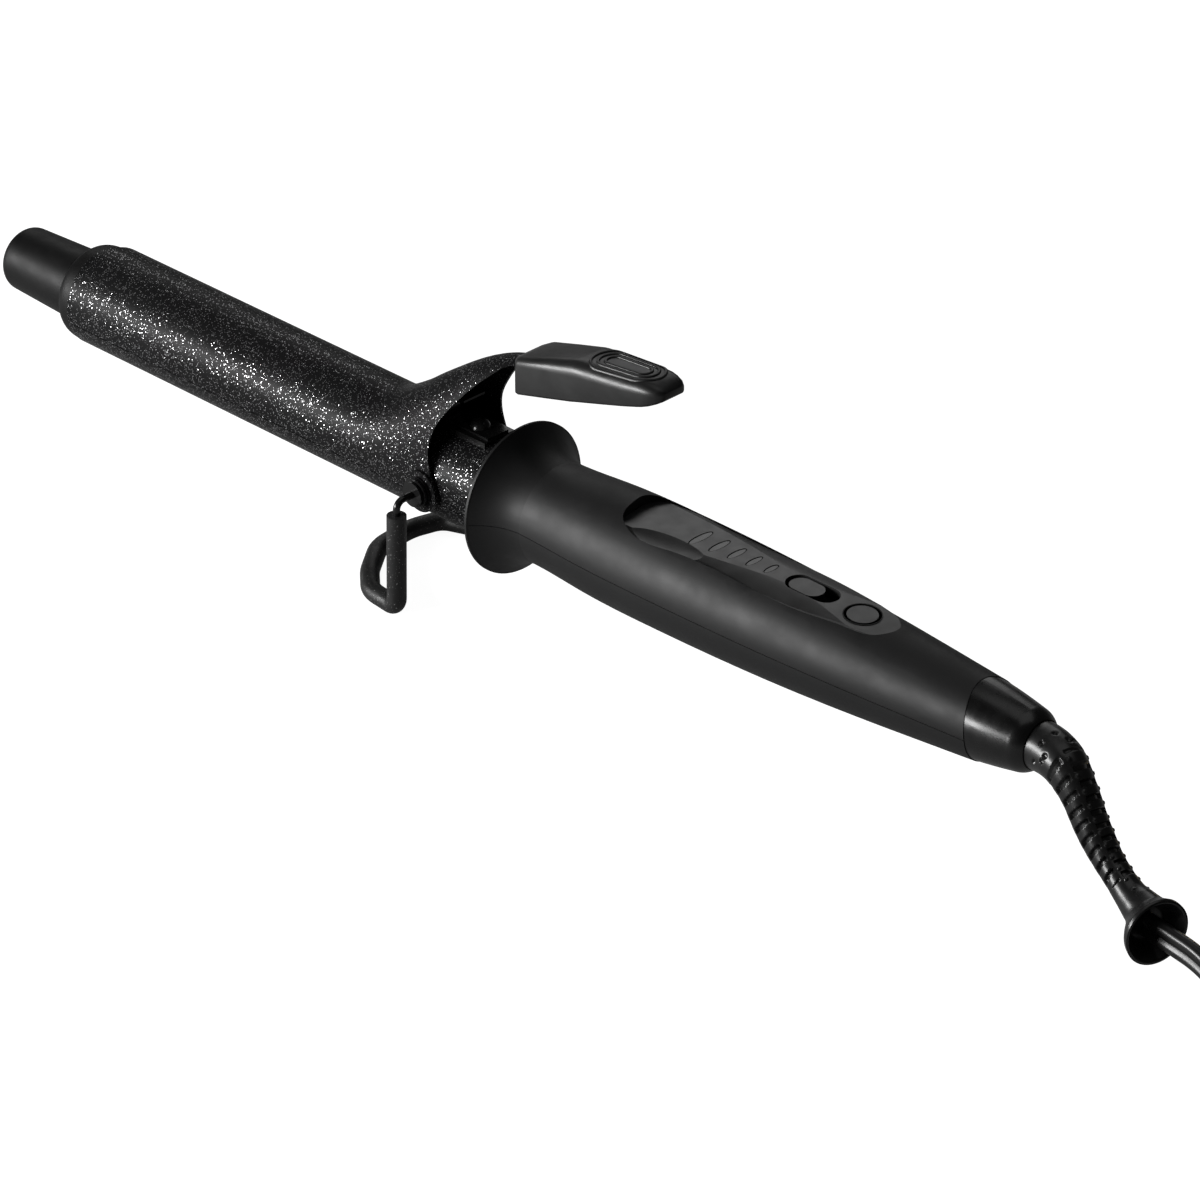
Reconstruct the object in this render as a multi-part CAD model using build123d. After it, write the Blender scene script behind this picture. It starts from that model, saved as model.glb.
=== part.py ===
from build123d import *
import math
import os

# Curling iron, in millimetres. It lies along X: tip towards -X, cord towards +X, lever on top (+Z).
# Everything is drawn about the barrel's axis, with x = 0 at the rim of the front ring, and moved
# at the end so that the origin is the middle of the iron's own box, on the surface it stands on.

# ---- barrel, clamp and stand
BARREL_R = 13.0
BARREL_WALL = 1.0
BARREL_FRONT_X = -150.5
BARREL_REAR_X = 5.0
BARREL_LINES = (7.0, 14.0)
TIP_X = -182.7
COLLAR_X = -155.5
CLAMP_GAP = 0.1
CLAMP_SHEET = 0.55
CLAMP_FRONT_X = -148.5
CLAMP_LIP_Z = -1.7
PIVOT_X = -20.0
PIVOT_Z = -0.8
LUG_R = 5.4
BUSH_R = 2.0
BUSH_RINGS = ((-15.2, 4.0), (-16.1, 3.8), (-17.0, 3.2))
RUNNING_GAP = 0.05
WIRE_R = 0.9
SLEEVE_R = 2.45
LEG_Y = 22.0
STAND_DROP = 30.0
STAND_FOOT = ((-31.0, -20.9), (-38.0, -14.6), (-45.2, -4.8), (-46.3, 7.5), (-44.0, 15.8), (-37.0, 18.6))
AXIS_Z = STAND_DROP + SLEEVE_R

# ---- handle
RING_X = (0.3, 1.4)
RING_R = 19.4
BELL_R = 19.05
NECK_R = 13.1
NECK_X = 13.5
GRIP_RISE = 0.31
SEAM_GAP = 0.16
TAIL_Z = 0.72
CAP_END_X = 165.2
SOCKET_R = 6.8
CONTACT_XS = (145.5, 150.5)
SCREW_XS = (34.0, 131.0)
PANEL_DOME_R = 22.0
INDICATORS = ((59.9, 8.1, 2.5), (65.9, 7.2, 2.4), (71.5, 6.4, 2.3), (77.0, 5.7, 2.1), (82.4, 4.9, 2.0))
SLOT_X = (88.0, 103.0)
SLOT_W = 7.0
SLIDER_X = (89.0, 98.4)
SLIDER_W = 5.8
BUTTON_X = 111.0
BUTTON_WELL_R = 4.65
BUTTON_R = 4.3
BOARD_Z = 4.0
BOARD_T = 1.6

# ---- cord
CORD_W = 6.6
FLOOR_Z = -AXIS_Z
RELIEF_END_X = 211.6
RELIEF_MOUTH = (209.2, -10.2, -24.4)
RELIEF_FACE = (0.95, -0.3, 0.0)
COIL_X = 258.6
COIL_Y = 20.0
COIL_R = (26.6, 42.9)
COIL_H = 13.6
RIM_X = -(TIP_X + RELIEF_END_X) / 2


def save(name, shape):
    """Move a finished piece into the part's frame and write it."""
    export_step(Pos(RIM_X, 0, AXIS_Z) * shape, f"parts/{name}.step")


def turned(profile):
    """A solid turned about the iron's axis from (x, radius) points."""
    outline = Polyline(*[(x, 0, r) for x, r in profile], close=True)
    return revolve(make_face(outline), Axis.X, 360)


def ring(x0, x1, outer, inner):
    """A plain tube along the axis."""
    return turned([(x0, inner), (x1, inner), (x1, outer), (x0, outer)])


def block(x, y, z):
    """A box between two limits along each axis."""
    return Pos((x[0] + x[1]) / 2, (y[0] + y[1]) / 2, (z[0] + z[1]) / 2) * Box(x[1] - x[0], y[1] - y[0], z[1] - z[0])


def post(x, y, z, radius):
    """An upright cylinder between two heights."""
    return Pos(x, y, (z[0] + z[1]) / 2) * Cylinder(radius, z[1] - z[0])


def cross_pin(x, z, y0, y1, radius):
    """A cylinder that lies across the iron."""
    return Pos(x, (y0 + y1) / 2, z) * Rot(90, 0, 0) * Cylinder(radius, abs(y1 - y0))


def side_band(points, thickness, half_width):
    """A bent strip: a side view line given thickness, and width across the iron."""
    line = FilletPolyline(*[(x, 0, z) for x, z in points], radius=thickness * 3)
    start = Plane(origin=line @ 0, z_dir=line % 0, x_dir=(0, 1, 0))
    return sweep(start * Rectangle(2 * half_width, thickness), path=line)


def wire(points, radius, bend):
    """A round wire through points, with one bend radius."""
    line = FilletPolyline(*points, radius=bend)
    return sweep(Plane(origin=line @ 0, z_dir=line % 0) * Circle(radius), path=line)


# ---------------------------------------------------------------- barrel and its heater


def cool_tip():
    body = turned([(TIP_X, 0), (TIP_X, 8.4), (COLLAR_X, 9.5), (COLLAR_X, 6.0), (-144, 6.0), (-144, 0)])
    body = fillet(body.edges().filter_by(GeomType.CIRCLE).sort_by(Axis.X)[0], 3.0)
    return body - turned([(-178.5, 0), (-178.5, 5.2), (-152, 5.0), (-144, 4.6), (-144, 0)])


def tip_collar():
    rounded = Spline((COLLAR_X, 0, 11.3), (-154.6, 0, 12.2), (-153.0, 0, 12.7), (BARREL_FRONT_X, 0, 12.85))
    rest = Polyline((BARREL_FRONT_X, 0, 12.85), (BARREL_FRONT_X, 0, 6.0), (COLLAR_X, 0, 6.0), (COLLAR_X, 0, 11.3))
    flange = revolve(make_face(Curve() + [rounded, rest]), Axis.X, 360)
    return flange + ring(BARREL_FRONT_X, -140, BARREL_R - BARREL_WALL, 6.0)


def barrel_tube():
    tube = ring(BARREL_FRONT_X, BARREL_REAR_X, BARREL_R, BARREL_R - BARREL_WALL)
    tube -= cross_pin(PIVOT_X, PIVOT_Z, -20, 20, BUSH_R - 0.4)
    tube -= post(-13.5, 0, (0, 20), 1.0)
    for angle in BARREL_LINES:
        for turn in (-angle, 180 + angle):
            groove = block((BARREL_FRONT_X - 1, BARREL_REAR_X + 1), (BARREL_R - 0.2, BARREL_R + 1), (-0.18, 0.18))
            tube -= Rot(turn, 0, 0) * groove
    return tube


def heat_spreader(side):
    """One half-round aluminium block, pressed against the heater slab."""
    half = turned([(-132, 0), (-132, BARREL_R - BARREL_WALL), (-34, BARREL_R - BARREL_WALL), (-34, 0)])
    keep = block((-140, -30), (-14, 14), (1.5, 14) if side > 0 else (-14, -1.5))
    return (half & keep) - block((-140, -30), (-1.6, 1.6), (side * 3.6 - 1.6, side * 3.6 + 1.6))


def ceramic_heater():
    return block((-128, -38), (-7.5, 7.5), (-1.5, 1.5))


def thermistor():
    return Pos(-60, 0, 3.6) * Rot(0, 90, 0) * Cylinder(1.1, 6)


def thermal_fuse():
    return Pos(-60, 0, -3.6) * Rot(0, 90, 0) * Cylinder(1.4, 10)


def heater_leads():
    """Two insulated wires from the heater slab back to the circuit board."""
    near = wire([(-38, -4.6, 0), (20, -4.6, 0), (46, -4.6, 3.2), (52, -4.6, 3.2)], 0.75, 4)
    return [near, mirror(near, about=Plane.XZ)]


def barrel_insulator():
    """The heat-resistant plug that carries the barrel in the neck of the handle."""
    bore = BARREL_R - BARREL_WALL
    return turned([(-8, 7), (-8, bore), (BARREL_REAR_X, bore), (BARREL_REAR_X, 10.8), (18, 10.8), (18, 7)])


def pivot_bushes():
    """The two grooved bushes that the clamp's ears turn on. The stand's ends turn inside them."""
    near = cross_pin(PIVOT_X, PIVOT_Z, -17.0, -11.7, BUSH_R)
    for y, radius in BUSH_RINGS:
        near += cross_pin(PIVOT_X, PIVOT_Z, y, y + 0.6, radius)
    near -= turned([(-60, 0), (-60, BARREL_R), (0, BARREL_R), (0, 0)]) - cross_pin(PIVOT_X, PIVOT_Z, -20, 20, BUSH_R - 0.4)
    near -= cross_pin(PIVOT_X, PIVOT_Z, -20, -10, WIRE_R + RUNNING_GAP)
    return [near, mirror(near, about=Plane.XZ)]


# ---------------------------------------------------------------- clamp


def clamp_sections(inset):
    """The clamp's cross-sections along X: half an ellipse over half a circle."""
    tops = [(-46, 13.65), (-44, 13.7), (-41, 14.4), (-38, 15.8), (-33, 18.8), (-27, 23.0), (-21, 27.2), (-14, 31.8), (-7, 35.7), (0, 38.5), (6, 39.9)]
    wide = BARREL_R + CLAMP_GAP + CLAMP_SHEET - inset
    faces = []
    for x, top in tops:
        tall = max(top - inset * 1.8, wide)
        over = EllipticalCenterArc((0, 0), wide, tall, 0, arc_size=180)
        under = CenterArc((0, 0), wide, 180, 180)
        section = Plane(origin=(x, 0, 0), x_dir=(0, 1, 0), z_dir=(1, 0, 0))
        faces.append(section * make_face(Curve() + [over, under]))
    return faces


def clamp_hood(inset):
    return loft(clamp_sections(inset))


def barrel_seen_from_clamp(angle):
    """Where the barrel near the pivot lies in the clamp's frame when the clamp is open by this many degrees."""
    barrel = Pos(PIVOT_X, 0, 0) * Rot(0, 90, 0) * Cylinder(BARREL_R + 0.03, 50)
    turned_back = Pos(PIVOT_X, 0, PIVOT_Z) * Rot(0, -angle, 0) * Pos(-PIVOT_X, 0, -PIVOT_Z) * barrel
    return turned_back & block((PIVOT_X - 14, 5), (-20, 20), (-6, 14))


def clamp_spoon():
    """The sheet clamp: a long half-tube over the barrel that flares up behind into the lever."""
    outer = BARREL_R + CLAMP_GAP + CLAMP_SHEET
    spoon = ring(CLAMP_FRONT_X, -46, outer, outer - CLAMP_SHEET)
    spoon += clamp_hood(0) - clamp_hood(CLAMP_SHEET)
    mouth = Spline(
        (-15.8, 0, 0.0), (-17.6, 0, 5.4), (-18.6, 0, 11.0), (-17.4, 0, 16.7), (-14.2, 0, 21.9),
        (-9.9, 0, 27.3), (-4.9, 0, 32.6), (-2.2, 0, 35.1), (1.2, 0, 37.2),
    )
    edges = Polyline(
        (1.2, 0, 37.2), (8, 0, 38.4), (8, 0, 45), (-149, 0, 45), (-149, 0, CLAMP_LIP_Z + 1.5), (-147, 0, CLAMP_LIP_Z),
        (-27, 0, CLAMP_LIP_Z), (-24, 0, PIVOT_Z - 2.0), (-15.8, 0, PIVOT_Z - 2.0), (-15.8, 0, 0),
    )
    outline = make_face(Curve() + [mouth, edges])
    spoon &= extrude(outline, 20, both=True)
    for angle in (0, 5, 10, 15, 20):
        spoon -= barrel_seen_from_clamp(angle)
    for y in (-1, 1):
        spoon += cross_pin(PIVOT_X, PIVOT_Z, y * (BARREL_R + CLAMP_GAP), y * 14.5, LUG_R)
    spoon -= cross_pin(PIVOT_X, PIVOT_Z, -20, 20, BUSH_R + RUNNING_GAP)
    return spoon + lever_tongue()


def lever_tongue():
    """The flat end of the lever, inside the thumb pad."""
    points = [(5.0, 38.9), (24.0, 43.4), (42.0, 45.6)]
    return side_band(points, 1.0, 4.5)


def thumb_pad():
    side = make_face(
        Polyline(
            (3.3, 0, 32.6), (3.3, 0, 40.9), (24.0, 0, 47.7), (44.5, 0, 50.0), (48.5, 0, 49.4),
            (51.0, 0, 47.4), (50.8, 0, 45.9), (46.5, 0, 43.5), (27.0, 0, 37.4), (5.0, 0, 31.6), close=True,
        )
    )
    plan = make_face(
        Polyline((2, -4.5), (4.6, -7), (30, -7), (46, -5.4), (51, -2.6), (51, 2.6), (46, 5.4), (30, 7), (4.6, 7), (2, 4.5), close=True)
    )
    pad = extrude(side, 8, both=True) & extrude(plan, 60)
    return pad - clamp_hood(0) - lever_tongue()


def clamp_spring():
    """A folded leaf, held on the barrel by its foot; its free arm is drawn pressed down, as with the clamp open."""
    leaf = [(-7.5, 13.75), (-27.0, 13.75), (-19.5, 20.0), (-15.5, 21.0)]
    return side_band(leaf, 0.5, 3.5) - post(-13.5, 0, (13, 15), 1.0)


def spring_saddle():
    seat = block((-19, -7), (-5, 5), (10.5, 13.5))
    seat -= turned([(-30, 0), (-30, BARREL_R), (0, BARREL_R), (0, 0)])
    return seat - post(-13.5, 0, (10, 15), 1.0)


def spring_rivet():
    dome = Pos(-13.5, 0, 13.5) * Sphere(2.6)
    head = dome & block((-20, -5), (-5, 5), (14.0, 20))
    tail = post(-13.5, 0, (11.0, 12.0), 1.8) & turned([(-30, 0), (-30, BARREL_R - BARREL_WALL), (0, BARREL_R - BARREL_WALL), (0, 0)])
    return head + post(-13.5, 0, (11.2, 14.1), 1.0) + tail


# ---------------------------------------------------------------- stand


def stand_line():
    """The wire's line from one bush to the other: two legs and a rounded foot, bent a little unevenly."""
    ends = [(PIVOT_X, 12.2, PIVOT_Z), (PIVOT_X, LEG_Y, PIVOT_Z), (PIVOT_X - 0.6, LEG_Y, -STAND_DROP)]
    foot = [(x, y, -STAND_DROP) for x, y in STAND_FOOT]
    near = [(x, -y, z) for x, y, z in ends]
    return FilletPolyline(*near, *foot, *ends[::-1], radius=[2.2, 2.6, 9.0, 20.0, 12.0, 14.0, 5.0, 14.0, 2.6, 2.2])


def swept_along(line, radius):
    return sweep(Plane(origin=line @ 0, z_dir=line % 0) * Circle(radius), path=line)


def stand_wire():
    return swept_along(stand_line(), WIRE_R)


def stand_sleeve():
    """The heat-proof tube over the stand, from below the bends to the other side."""
    line = stand_line()
    sleeve = swept_along(line, SLEEVE_R) - swept_along(line, WIRE_R)
    return sleeve & block((-60, 0), (-30, 30), (-40, PIVOT_Z - 3.6))


# ---------------------------------------------------------------- handle


def bell():
    """The hollow curve from the rim down to the neck, level where it meets the neck."""
    drop = BELL_R - NECK_R
    length = NECK_X - RING_X[1]
    radius = (length ** 2 + drop ** 2) / (2 * drop)
    half_turn = math.asin(length / radius) / 2
    middle = (NECK_X - radius * math.sin(half_turn), 0, NECK_R + radius * (1 - math.cos(half_turn)))
    curve = ThreePointArc((RING_X[1], 0, BELL_R), middle, (NECK_X, 0, NECK_R))
    inside = (NECK_X + 2, 0, NECK_R - 0.2)
    rest = Polyline((NECK_X, 0, NECK_R), inside, (NECK_X + 2, 0, 0), (RING_X[1], 0, 0), (RING_X[1], 0, BELL_R))
    return revolve(make_face(Curve() + [curve, rest]), Axis.X, 360)


def risen(shape):
    """Turn a shape up a little about the neck: the grip's axis climbs slowly towards the cord."""
    return Pos(NECK_X, 0, 0) * Rot(0, -GRIP_RISE, 0) * Pos(-NECK_X, 0, 0) * shape


def handle_body():
    """The handle's outer form, solid: bell, neck and grip."""
    start = NECK_X - 3
    grip = Spline(
        (start, 0, NECK_R), (30, 0, 14.1), (52, 0, 14.5), (87, 0, 13.9), (115, 0, 12.45), (141, 0, 10.5),
        (153, 0, 9.55), tangents=((1, 0, 0), (1, 0, -0.08)),
    )
    rest = Polyline((153, 0, 9.55), (153, 0, 0), (start, 0, 0), (start, 0, NECK_R))
    return bell() + risen(revolve(make_face(Curve() + [grip, rest]), Axis.X, 360))


def before_seam():
    """Everything in front of the joint between the shells and the end cap, which is cut to a curve."""
    curve = Spline((150.4, 0, -14), (150.9, 0, -4.5), (149.9, 0, 5.5), (146.8, 0, 12))
    rest = Polyline((146.8, 0, 12), (146.8, 0, 20), (-5, 0, 20), (-5, 0, -20), (150.4, 0, -20), (150.4, 0, -14))
    return extrude(make_face(Curve() + [curve, rest]), 25, both=True)


def at_tail(shape):
    """Move a piece drawn about the barrel's axis onto the swivel's axis."""
    return Pos(0, 0, TAIL_Z) * shape


def handle_cavity():
    front = [(RING_X[1] - 1, 0), (RING_X[1] - 1, BARREL_R), (BARREL_REAR_X, BARREL_R), (BARREL_REAR_X, 10.8)]
    grip = [(20, 10.8), (30, 12.0), (52, 12.4), (87, 11.9), (115, 10.4), (136, 8.6), (136, 0)]
    return turned(front + grip) + at_tail(turned([(135, 0), (135, 7.6), (156, 7.6), (156, 0)]))


def boss(x, low, high, radius):
    """A screw post inside the handle, cut off at its outer surface."""
    return post(x, 0, (low, high), radius)


def panel_outline():
    """The panel's long drop shape, seen from above."""
    half = [(39.2, 0), (40.6, 6.2), (45, 8.7), (58, 8.9), (82, 8.3), (100, 7.6), (112, 6.0), (119, 4.2), (121.6, 0)]
    near = [(x, -y) for x, y in half[-2:0:-1]]
    return make_face(Spline(*[(x, y, 0) for x, y in half + near], periodic=True))


def panel_dome():
    """A large cylinder along the handle that rounds the panel's top from side to side."""
    return Pos(80, 0, 13.15 - PANEL_DOME_R) * Rot(0, 90, 0) * Cylinder(PANEL_DOME_R, 120)


def panel_crest(drop):
    """Everything below the panel's top surface, which dips towards its front end."""
    crest = ((36, 11.9), (46, 11.9), (60, 12.2), (82, 12.9), (95, 12.95), (111, 12.3), (124, 11.2))
    top = Spline(*[(x, 0, z - drop) for x, z in crest])
    rest = Polyline((124, 0, 11.2 - drop), (124, 0, 0), (36, 0, 0), (36, 0, 11.9 - drop))
    return extrude(make_face(Curve() + [top, rest]), 12, both=True)


def upper_shell():
    body = handle_body()
    shell = (body - handle_cavity()) & block((-5, 160), (-30, 30), (0, 30)) & before_seam()
    for x in SCREW_XS:
        shell += (boss(x, 0.2, 14, 2.8) & body) - boss(x, 0, 7, 1.3)
    return shell - (extrude(panel_outline(), 30) - block((0, 200), (-20, 20), (-1, 8.0)))


def lower_shell():
    body = handle_body()
    shell = (body - handle_cavity()) & block((-5, 160), (-30, 30), (-30, -SEAM_GAP)) & before_seam()
    for x in SCREW_XS:
        floor = -7.0
        shell += boss(x, -14, -0.2, 3.4) & body
        shell -= boss(x, floor, 1, 1.5)
        shell -= boss(x, -20, floor, 2.8)
    return shell


def shell_screws():
    """Two screws that pull the lower shell to the upper one."""
    return [boss(x, -8.8, -7.0, 2.5) + boss(x, -7.0, 6.5, 1.3) for x in SCREW_XS]


def front_ring():
    front, back = RING_X
    low = RING_R - 0.3
    return turned([(front, BARREL_R), (front, low), (front + 0.3, RING_R), (back - 0.2, RING_R), (back, low), (back, BARREL_R)])


def oval(x, across, along, low, high):
    return extrude(Pos(x, 0, low) * Ellipse(along / 2, across / 2), high - low)


def slot(x0, x1, width, low, high):
    return extrude(Pos((x0 + x1) / 2, 0, low) * SlotOverall(x1 - x0, width), high - low)


def control_panel():
    panel = extrude(panel_outline(), 30) & (panel_crest(0) - panel_crest(3.2)) & panel_dome()
    panel -= Pos(0, 0, -1.8) * panel_dome() & block((42, 118), (-6.5, 6.5), (0, 30))
    panel -= Pos(55.5, -9.2, 15.2) * scale(Sphere(1), by=(17.5, 7.5, 4.4))
    panel -= slot(SLOT_X[0], SLOT_X[1], SLOT_W, 0, 30)
    panel -= post(BUTTON_X, 0, (0, 30), BUTTON_WELL_R)
    for x, across, along in INDICATORS:
        panel -= oval(x, across, along, 0, 30)
    return panel


def indicator_lens():
    """One clear moulding: a bar under the panel with five windows that stand in its holes."""
    bar = block((57, 85), (-3.6, 3.6), (8.2, 9.4))
    for x, across, along in INDICATORS:
        bar += oval(x, across - 0.6, along - 0.6, 9.4, 20) & panel_crest(0.1)
    return bar


def indicator_leds():
    return [block((x - 1, x + 1), (-0.6, 0.6), (BOARD_Z + BOARD_T, BOARD_Z + BOARD_T + 0.8)) for x, _, _ in INDICATORS]


def slide_cap():
    """The sliding key: its top shows in the slot, its foot carries the switch's contact."""
    top = slot(SLIDER_X[0], SLIDER_X[1], SLIDER_W, 9.6, 20) & panel_crest(0.35)
    foot = block((92.7, 94.7), (-1.5, 1.5), (8.6, 9.7))
    return top + foot


def slide_switch():
    body = block((88, 104), (-3.5, 3.5), (BOARD_Z + BOARD_T, 9.5))
    return body - block((92.0, 100.5), (-1.9, 1.9), (7.4, 10))


def power_button():
    return (post(BUTTON_X, 0, (9.4, 14), BUTTON_R - 0.6) & panel_crest(-0.1)) + post(BUTTON_X, 0, (9.4, 10.0), BUTTON_R)


def button_ring():
    """The thin trim ring that lines the button's well."""
    return (post(BUTTON_X, 0, (9, 14), BUTTON_WELL_R) - post(BUTTON_X, 0, (8, 15), BUTTON_R + 0.1)) & (panel_crest(-0.12) - panel_crest(1.6))


def power_switch():
    base = block((BUTTON_X - 3, BUTTON_X + 3), (-3, 3), (BOARD_Z + BOARD_T, 8.2))
    return base + post(BUTTON_X, 0, (8.2, 8.7), 1.7)


def circuit_board():
    board = block((46, 124), (-7, 7), (BOARD_Z, BOARD_Z + BOARD_T))
    return board


def triac():
    tab = block((62, 66), (-5, 5), (-10, -9.0))
    return block((60, 70), (-5, 5), (-2, 2.2)) + block((61, 69), (-5, 5), (2.2, BOARD_Z)) + tab.moved(Location((0, 0, 7)))


def capacitor():
    return block((78, 91), (-3, 3), (-6, BOARD_Z))


# ---------------------------------------------------------------- end cap and swivel


def end_cap():
    side = Spline((145, 0, 10.0), (152, 0, 9.4), (158, 0, 8.55), (161.5, 0, 7.95))
    nose = ThreePointArc((161.5, 0, 7.95), (163.9, 0, 7.15), (CAP_END_X, 0, 6.1))
    rest = Polyline((CAP_END_X, 0, 6.1), (CAP_END_X, 0, 0), (145, 0, 0), (145, 0, 10.0))
    cap = risen(revolve(make_face(Curve() + [side, nose, rest]), Axis.X, 360)) - before_seam()
    cap += at_tail(ring(141, 153, 7.6, SOCKET_R))
    return cap - at_tail(turned([(140, 0), (140, SOCKET_R), (157, SOCKET_R), (157, 6.05), (166, 6.05), (166, 0)]))


def contact_springs():
    """Two sprung strips, one on each side, that press on the slip rings."""
    near = block((135, CONTACT_XS[0] + 0.8), (-6.2, -5.7), (-0.8, 0.8))
    near += block((CONTACT_XS[0] - 0.8, CONTACT_XS[0] + 0.8), (-6.2, -4.65), (-0.8, 0.8))
    far = block((135, CONTACT_XS[1] + 0.8), (5.7, 6.2), (-0.8, 0.8))
    far += block((CONTACT_XS[1] - 0.8, CONTACT_XS[1] + 0.8), (4.65, 6.2), (-0.8, 0.8))
    return [near, far]


def swivel_socket():
    """The fixed half of the swivel: the core turns in it, the contacts lie in its side slots."""
    socket = ring(141.3, 157, SOCKET_R, 4.5 + RUNNING_GAP)
    socket -= block((140, CONTACT_XS[0] + 0.8), (-8, -4), (-0.8, 0.8))
    return socket - block((140, CONTACT_XS[1] + 0.8), (4, 8), (-0.8, 0.8))


def swivel_core():
    core = turned([(139, 0), (139, 5.6), (141.2, 5.6), (141.2, 4.5), (157.2, 4.5), (157.2, 0)])
    for x in CONTACT_XS:
        core -= ring(x - 1, x + 1, 5, 3.9)
    return core


def slip_rings():
    return [ring(x - 1, x + 1, 4.5, 3.9) for x in CONTACT_XS]


def mains_leads():
    near = wire([(121, -5.2, 3.4), (126, -5.4, 3.4), (132, -5.95, TAIL_Z), (135, -5.95, TAIL_Z)], 0.6, 1.5)
    return [near, mirror(near, about=Plane.XZ)]


RELIEF = (
    (165.5, 0.0, TAIL_Z, 5.85), (167.8, -0.3, 0.8, 5.8), (170.4, -0.9, 0.8, 5.65),
    (173.6, -1.8, 0.3, 5.4), (176.2, -2.4, -1.3, 5.0), (178.5, -2.9, -3.3, 4.6), (180.8, -3.4, -5.6, 4.35),
    (184.0, -4.2, -9.4, 4.15), (187.2, -4.9, -12.6, 3.95), (191.0, -5.8, -15.6, 3.6), (195.0, -6.75, -17.9, 3.5),
    (199.0, -7.7, -19.9, 3.75), (202.1, -8.4, -20.9, 4.35), (204.5, -8.9, -21.5, 5.0), (206.3, -9.4, -22.8, 6.6),
    (207.8, -9.8, -23.8, 7.7), (*RELIEF_MOUTH, 8.05),
)
FLARE = ((0.89, -0.24, -0.40), (0.93, -0.27, -0.25), (0.95, -0.29, -0.10), RELIEF_FACE)


def strain_relief():
    """The bent moulding on the cord: collar, tapered neck and an open bell at its end."""
    faces = []
    for i, (x, y, z, radius) in enumerate(RELIEF):
        before = Vector(*RELIEF[max(i - 1, 0)][:3])
        after = Vector(*RELIEF[min(i + 1, len(RELIEF) - 1)][:3])
        ahead = (after - before).normalized() if i else Vector(1, 0, 0)
        if i >= len(RELIEF) - len(FLARE):
            ahead = Vector(*FLARE[i - len(RELIEF) + len(FLARE)]).normalized()
        across = ahead.cross(Vector(0, 0, 1)).normalized()
        faces.append(Plane(origin=(x, y, z), x_dir=across, z_dir=ahead) * Circle(radius))
    mouth = Plane(origin=RELIEF_MOUTH, z_dir=RELIEF_FACE) * Pos(0, 0, -2.5) * Cone(4.0, 7.3, 5.2)
    return loft(faces) + at_tail(ring(157.2, 165.5, 5.85, 0)) - mouth


# ---------------------------------------------------------------- cord, coil and plug

LEAD = (
    (205.3, -8.9, -24.5), (212.5, -9.8, -24.9), (221.5, -10.5, -25.5), (232.0, -13.7, -27.4),
    (242.0, -17.8, -28.9), (251.0, -21.2, -29.1),
)
TAIL = (
    (246.0, 59.3, -22.4), (237.5, 55.5, -22.8), (230.5, 53.0, -23.8), (224.0, 52.0, -24.9),
)
PLUG_X = 195.1
PLUG_Y = 52.0
PLUG_Z = -24.9


def cord_tube(points):
    """Straight runs joined by the largest arcs that they allow."""
    radii = []
    for a, b, c in zip(points, points[1:], points[2:]):
        before = Vector(*b) - Vector(*a)
        after = Vector(*c) - Vector(*b)
        turn = math.radians(before.get_angle(after))
        radii.append(0.45 * min(before.length, after.length) / math.tan(turn / 2))
    line = FilletPolyline(*points, radius=radii)
    return swept_along(line, CORD_W / 2)


def cord_coil():
    coil = Cylinder(COIL_R[1], COIL_H) - Cylinder(COIL_R[0], COIL_H)
    coil = fillet(coil.edges().filter_by(GeomType.CIRCLE), 1.4)
    return Pos(COIL_X, COIL_Y, FLOOR_Z + COIL_H / 2) * coil


def cord_tie():
    """A strap around the bundle of turns, on the side away from the iron."""
    middle = sum(COIL_R) / 2
    thick = COIL_R[1] - COIL_R[0]
    band = Box(thick + 1.6, 5, COIL_H + 0.8) - Box(thick, 6, COIL_H)
    return Pos(COIL_X + middle, COIL_Y, FLOOR_Z + COIL_H / 2 + 0.4) * band - cord_coil()


def blade(y, x0):
    return block((PLUG_X + x0, PLUG_X + 6), (PLUG_Y + y - 0.75, PLUG_Y + y + 0.75), (PLUG_Z - 3.15, PLUG_Z + 3.15))


def plug_body():
    body = block((PLUG_X, PLUG_X + 20), (PLUG_Y - 11, PLUG_Y + 11), (FLOOR_Z, FLOOR_Z + 14))
    body = fillet(body.edges(), 2.5)
    tail = Pos(PLUG_X + 24.5, PLUG_Y, PLUG_Z) * Rot(0, 90, 0) * Cone(5.0, 3.9, 12)
    return body + tail - blade(-6.35, -10) - blade(6.35, -10)


def plug_blades():
    hole = cross_pin(PLUG_X - 13.5, PLUG_Z, PLUG_Y - 10, PLUG_Y + 10, 1.6)
    return [blade(y, -17) - hole for y in (-6.35, 6.35)]


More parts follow.
